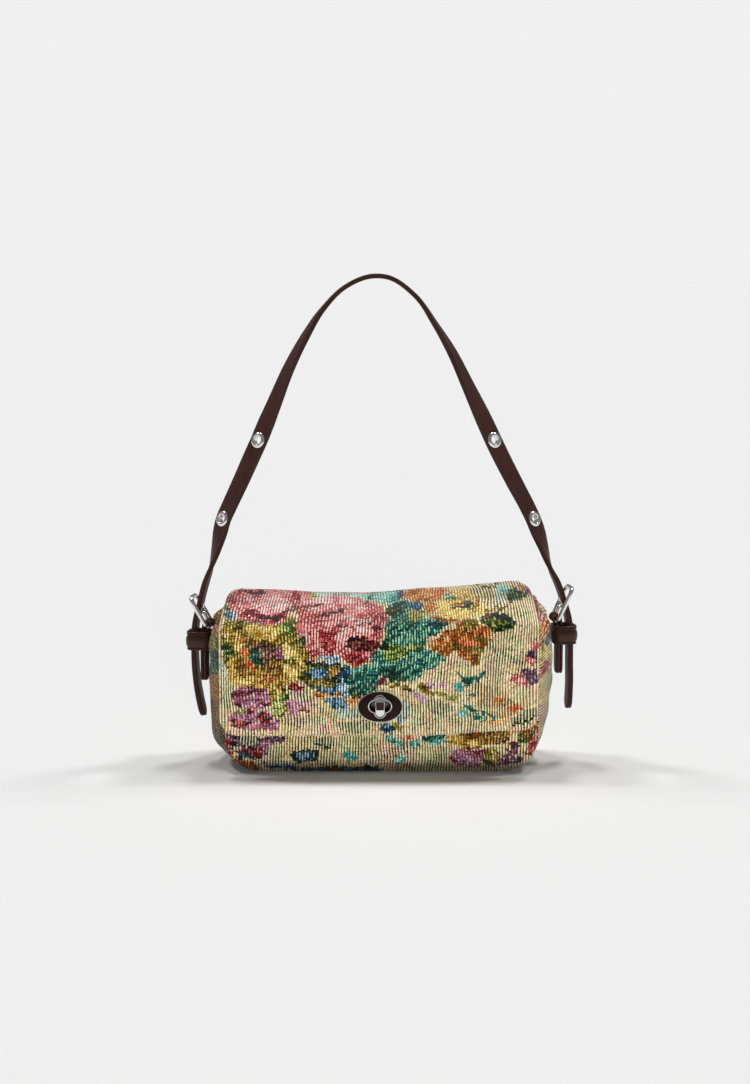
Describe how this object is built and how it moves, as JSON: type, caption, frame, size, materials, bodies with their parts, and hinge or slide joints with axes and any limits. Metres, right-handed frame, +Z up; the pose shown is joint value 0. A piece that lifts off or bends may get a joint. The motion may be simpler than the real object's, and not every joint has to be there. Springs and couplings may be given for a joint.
{
  "type": "mini shoulder bag",
  "caption": "Small structured shoulder bag in floral tapestry with a front flap, an oval turn lock and a short buckled leather strap.",
  "frame": {"origin": "the middle of the object's box, on the surface that the bag stands on", "axes": "+Z up through the strap, -Y out of the front, +X to the right as seen from the front"},
  "size_m": [0.2461, 0.0806, 0.3064],
  "materials": {
    "tapestry": "ribbed floral tapestry weave",
    "lining_cloth": "plain twill",
    "interlining": "felted stiffener",
    "board": "matt board",
    "leather": "smooth dark brown, fine grain",
    "silver": "polished nickel",
    "lock_face": "dark brown enamel",
    "dark_metal": "dark nickel",
    "spring_steel": "plain"
  },
  "bodies": {
    "body": {"front_panel": "tapestry", "back_panel": "tapestry", "gusset": "tapestry", "front_interlining": "interlining", "back_interlining": "interlining", "base_board": "board", "lining": "lining_cloth", "mouth_facing": "leather", "knob_base": "silver", "knob_washer": "silver", "knob_spring": "spring_steel", "strap_end_outer_left": "leather", "strap_end_inner_left": "leather", "strap_end_outer_right": "leather", "strap_end_inner_right": "leather", "strap_end_eyelet_left": "silver", "strap_end_eyelet_right": "silver", "tab_left": "leather", "tab_right": "leather"},
    "flap_top": {"flap_top_outer": "tapestry", "flap_top_lining": "lining_cloth"},
    "flap_front": {"flap_front_outer": "tapestry", "flap_front_lining": "lining_cloth", "lock_plate": "lock_face", "lock_bezel": "silver", "lock_eyelet_rim": "silver", "lock_back_washer": "silver"},
    "knob": {"turn_knob": "silver", "knob_shaft": "dark_metal"},
    "strap": {"strap_arch_outer": "leather", "strap_arch_inner": "leather", "strap_eyelet_left_upper": "silver", "strap_eyelet_left_lower": "silver", "strap_eyelet_right_upper": "silver", "strap_eyelet_right_lower": "silver"},
    "buckle_left": {"buckle_frame_left": "silver"},
    "buckle_right": {"buckle_frame_right": "silver"},
    "prong_left": {"buckle_prong_left": "silver"},
    "prong_right": {"buckle_prong_right": "silver"},
    "keeper_left_loop": {"keeper_left": "leather"},
    "keeper_right_loop": {"keeper_right": "leather"}
  },
  "joints": [
    {"name": "flap_rear_fold", "type": "hinge", "parent": "body", "child": "flap_top", "pos_m": [0, 0.03885, 0.1062], "axis": [-1, 0, 0], "range_deg": [0, 41]},
    {"name": "flap_front_fold", "type": "hinge", "parent": "flap_top", "child": "flap_front", "pos_m": [0, -0.03355, 0.0948], "axis": [-1, 0, 0], "range_deg": [0, 120]},
    {"name": "lock_turn", "type": "hinge", "parent": "body", "child": "knob", "pos_m": [-0.0011, -0.03585, 0.0441], "axis": [0, -1, 0], "range_deg": [-90, 90]},
    {"name": "strap_fold", "type": "hinge", "parent": "body", "child": "strap", "pos_m": [0, 0.00585, 0.128], "axis": [1, 0, 0], "range_deg": [-95, 95]},
    {"name": "buckle_left_tilt", "type": "hinge", "parent": "body", "child": "buckle_left", "pos_m": [-0.10904, 0.00522, 0.0879], "axis": [0.1392, 0.9903, 0], "range_deg": [-1, 1.5]},
    {"name": "buckle_right_tilt", "type": "hinge", "parent": "body", "child": "buckle_right", "pos_m": [0.10953, 0.00543, 0.0916], "axis": [0.1392, -0.9903, 0], "range_deg": [-1, 1.5]},
    {"name": "prong_left_swing", "type": "hinge", "parent": "buckle_left", "child": "prong_left", "pos_m": [-0.10904, 0.00522, 0.0879], "axis": [-0.1392, -0.9903, 0], "range_deg": [0, 4]},
    {"name": "prong_right_swing", "type": "hinge", "parent": "buckle_right", "child": "prong_right", "pos_m": [0.10953, 0.00543, 0.0916], "axis": [-0.1392, 0.9903, 0], "range_deg": [0, 4]},
    {"name": "keeper_left_slide", "type": "slide", "parent": "body", "child": "keeper_left_loop", "axis": [0, 0, -1], "range_m": [0, 0.008]},
    {"name": "keeper_right_slide", "type": "slide", "parent": "body", "child": "keeper_right_loop", "axis": [0, 0, -1], "range_m": [0, 0.008]}
  ],
  "couplings": [
    {"joint": "flap_rear_fold", "follows": "flap_front_fold", "ratio": 0.34}
  ]
}
